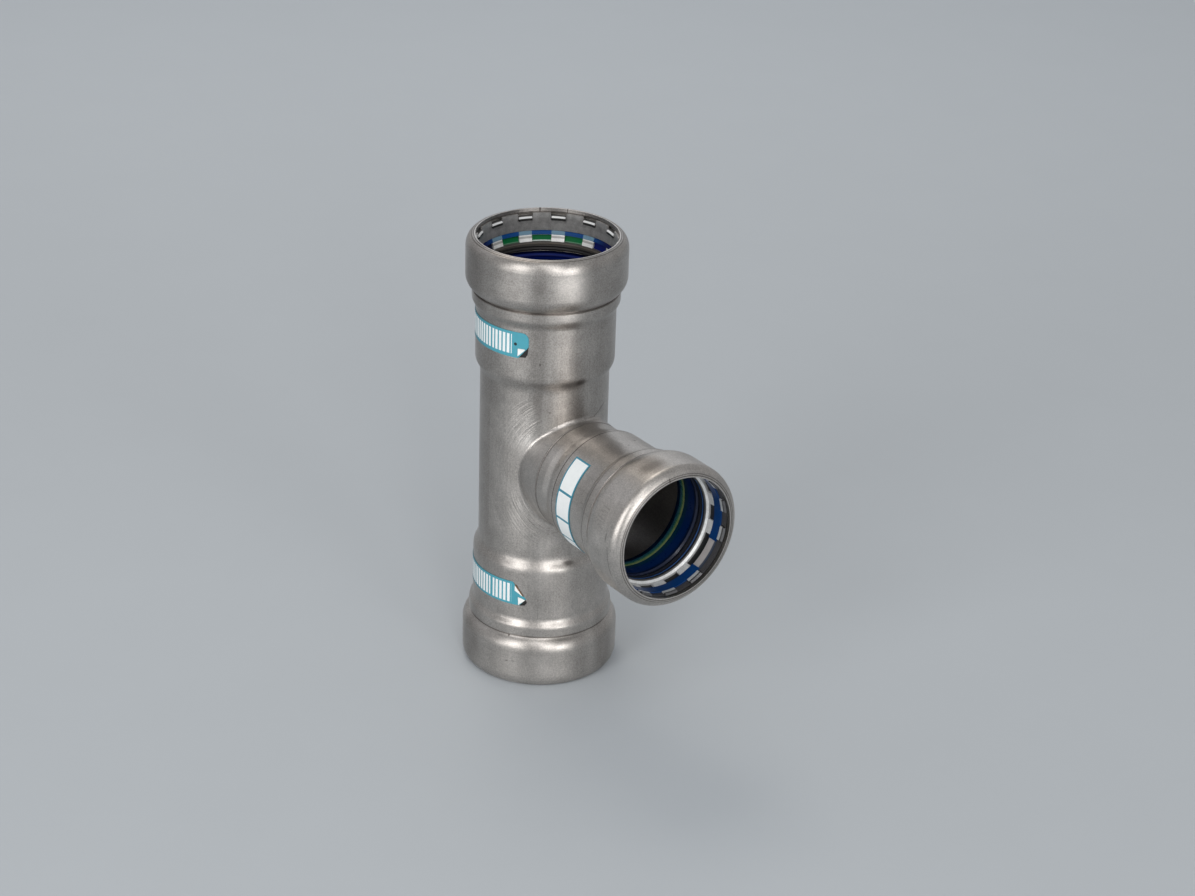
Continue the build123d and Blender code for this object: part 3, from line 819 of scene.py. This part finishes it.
# %% [markdown]
# ## Dressing the solids
# The solids arrive with plain materials. The rings of the upper and the lower socket have the
# same finish, so a ring's name without "upper" or "lower" finds it; a name that is listed in
# full comes first, as the branch socket's rings do.

# %% Give each solid its finish
finishes = {
    "run_body": run_steel, "branch_socket": branch_steel,
    "tab_ring": run_tabs, "branch_tab_ring": branch_tabs,
    "liner_ring": liner_steel, "branch_liner_ring": branch_liner,
    "slip_ring": slip_film, "split_ring": blue_plastic,
    "spacer_ring": run_spacer, "branch_spacer_ring": black_plastic,
    "grip_ring": run_grip, "branch_grip_ring": branch_grip,
    "support_ring": run_support, "branch_support_ring": branch_support,
    "seal_ring": run_seal, "branch_seal_ring": branch_seal, "wiper_ring": wiper_rubber,
    "upper_label": upper_print, "lower_label": lower_print, "branch_label": branch_print,
}
for name, solid in nodes.items():
    kind = name if name in finishes else name.split("_", 1)[1]
    solid.data.materials.clear()
    solid.data.materials.append(finishes[kind].material)
print("solids dressed", len(nodes), "finishes", len(set(finishes.values())))

# %% [markdown]
# ## Loose corners of the labels
# The lower corner of the upper label is peeled: its white back is folded over the print, and a dark
# patch lies beside it. The end of the lower label is folded the same way, with a painted shadow
# along its folded edge. White patches in the label's print would lie flat and cast no shadow, so
# each fold is a piece: a face of a few corners laid on the socket wall, divided, given a thickness,
# and lifted a little where the film stands up.

# %% Finishes of the film, its dark patches and its painted shadow
paper_back = plain("paper_back", rgb(236, 236, 232), 0.55, uneven=0.04)
glue = plain("glue", rgb(22, 17, 14), 0.3, uneven=0.3, coat=0.3)
# A painted shadow along the folded edge.
cut_edge = plain("cut_edge", rgb(120, 92, 66), 0.6)

# %% A small piece of film
film_thickness = 0.12
cuts_per_edge = 3
print("film", film_thickness, "mm thick")


def corner(name, finish, points):
    """A small piece of film on the run's socket wall; points are (angle, height, lift)."""
    shape = bmesh.new()
    ring = []
    for angle, height, lift in points:
        r = (run_pocket_r + lift) * mm
        ring.append(shape.verts.new((r * cos(radians(angle)), r * sin(radians(angle)), height * mm)))
    face = shape.faces.new(ring)
    outward = Vector((ring[0].co.x, ring[0].co.y, 0))
    face.normal_update()
    if face.normal.dot(outward) < 0:
        bmesh.ops.reverse_faces(shape, faces=[face])
    bmesh.ops.triangulate(shape, faces=shape.faces[:])
    bmesh.ops.subdivide_edges(shape, edges=shape.edges[:], cuts=cuts_per_edge, use_grid_fill=True)
    bmesh.ops.solidify(shape, geom=shape.faces[:], thickness=film_thickness * mm)
    bmesh.ops.recalc_face_normals(shape, faces=shape.faces[:])
    piece = bpy.data.objects.new(name, bpy.data.meshes.new(name))
    shape.to_mesh(piece.data)
    shape.free()
    piece.data.materials.append(finish.material)
    bpy.context.scene.collection.objects.link(piece)
    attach(piece, "root")
    print(name, "faces", len(piece.data.polygons))


# %% The folds and the glue beside them
corner("upper_label_glue", glue,
       [(-56.4, 137.0, 0.16), (-50.6, 140.3, 0.16), (-47.8, 141.6, 0.16), (-48.6, 138.6, 0.16),
        (-50.1, 137.3, 0.16)])
corner("upper_label_fold", paper_back,
       [(-56.6, 140.5, 0.45), (-51.0, 140.6, 0.55), (-50.6, 140.3, 0.4), (-56.7, 137.5, 0.4)])
corner("lower_label_fold", paper_back,
       [(-55.7, 42.1, 0.4), (-55.6, 39.9, 0.5), (-48.8, 37.9, 0.45)])
# Painted shadow along the fold's edge.
corner("lower_label_edge", cut_edge,
       [(-55.2, 42.5, 0.3), (-55.7, 42.1, 0.42), (-48.8, 37.9, 0.45), (-47.9, 37.9, 0.3)])
corner("lower_label_tail", paper_back,
       [(-52.8, 37.3, 0.4), (-46.6, 36.4, 0.5), (-52.5, 33.9, 0.4)])
corner("lower_label_glue", glue,
       [(-51.6, 33.7, 0.3), (-46.6, 36.4, 0.35), (-45.3, 35.2, 0.3), (-47.0, 34.0, 0.3)])

# %% [markdown]
# ## The floor
# The fitting stands on pale grey paper. A large flat grid is enough for it, because nothing of it
# shows but its tone: a little paler towards the far side, where the paper catches the light from
# behind, with a faint unevenness.

# %% Floor
floor_size = 6.0
floor_grey = rgb(181, 186, 190)
floor_mesh = bmesh.new()
bmesh.ops.create_grid(floor_mesh, x_segments=1, y_segments=1, size=floor_size / 2)
floor = bpy.data.objects.new("floor", bpy.data.meshes.new("floor"))
floor_mesh.to_mesh(floor.data)
floor_mesh.free()
floor_finish = Finish("floor_paper", Roughness=0.8)
point, x, y, z = floor_finish.place()
fibre = floor_finish.noise(point, 0.02, 3)
away = y * cos(camera_azimuth) - x * sin(camera_azimuth)
pale = 0.94 + 0.05 * floor_finish.ramp(away, -160, 60) + 0.16 * floor_finish.ramp(away, 60, 850)
floor_finish.set("Base Color", floor_finish.tint(floor_grey, pale + 0.03 * fibre))
floor.data.materials.append(floor_finish.material)
bpy.context.scene.collection.objects.link(floor)
print("floor", floor_size, "m square")

# %% [markdown]
# ## The lights
# Satin metal shows each tall soft box as a soft upright band, so the bands in the photograph say
# where the boxes stand. Three tall ones in front make the bands, two low ones light the lower
# socket, a high one lights the shoulders, and three behind light the floor and the far rims. Their
# strengths came from renders under one box at a time, whose sum was matched to the photograph,
# because light simply adds up. A last touch was given after that.

# %% Lights
def soft_box(name, azimuth, elevation, distance, width, height, power, colour=(1, 1, 1)):
    """A rectangular light aimed at the middle of the fitting; azimuth 0 is at the camera."""
    lamp = bpy.data.lights.new(name, "AREA")
    lamp.shape = "RECTANGLE"
    lamp.size = width
    lamp.size_y = height
    lamp.energy = power
    lamp.color = colour
    box = bpy.data.objects.new(name, lamp)
    turn = camera_azimuth + radians(azimuth)
    away = Vector((sin(turn) * cos(radians(elevation)), -cos(turn) * cos(radians(elevation)),
                   sin(radians(elevation))))
    middle = (cad_low + cad_high) / 2
    box.location = middle + away * distance
    box.rotation_euler = (-away).to_track_quat("-Z", "Y").to_euler()
    box.visible_camera = False
    bpy.context.scene.collection.objects.link(box)
    print(name, power, "W")


cool_white, pale_blue, warm_white = (0.85, 0.92, 1), (0.87, 0.9, 1), (1, 0.94, 0.86)
soft_box("key_box", 14, 20, 1.3, 0.25, 0.9, 3.4)
soft_box("key_side_box", 42, 20, 1.3, 0.25, 0.9, 1.1)
soft_box("key_low_box", 33, 6, 1.1, 0.22, 0.22, 2.0)
soft_box("left_box", -36, 20, 1.3, 0.47, 0.9, 5.6)
soft_box("left_low_box", -56, 5, 1.0, 0.2, 0.2, 0.55)
soft_box("high_box", 0, 50, 1.4, 0.5, 0.5, 2.1)
soft_box("back_box", 180, 27, 1.6, 1.0, 0.6, 1.1, cool_white)
soft_box("back_side_box", -120, 32, 1.6, 1.0, 0.9, 0.8, pale_blue)
soft_box("top_box", -158, 60, 1.4, 0.5, 0.5, 3.0, warm_white)

# %% [markdown]
# The room itself gives an even, slightly cool light that fills the shadows. The view transform
# is Standard, so that a colour read from a picture comes out as it was read.

# %% The room's light
room_colour = (0.95, 0.97, 1.0, 1)
room_strength = 0.47
world = bpy.data.worlds.new("studio")
world.use_nodes = True
world.node_tree.nodes["Background"].inputs["Color"].default_value = room_colour
world.node_tree.nodes["Background"].inputs["Strength"].default_value = room_strength
bpy.context.scene.world = world
bpy.context.scene.view_settings.view_transform = "Standard"
print("room light", room_strength)

# %% [markdown]
# ## Sizes
# The size of the solids, from cad_low to cad_high, was printed when they were loaded.
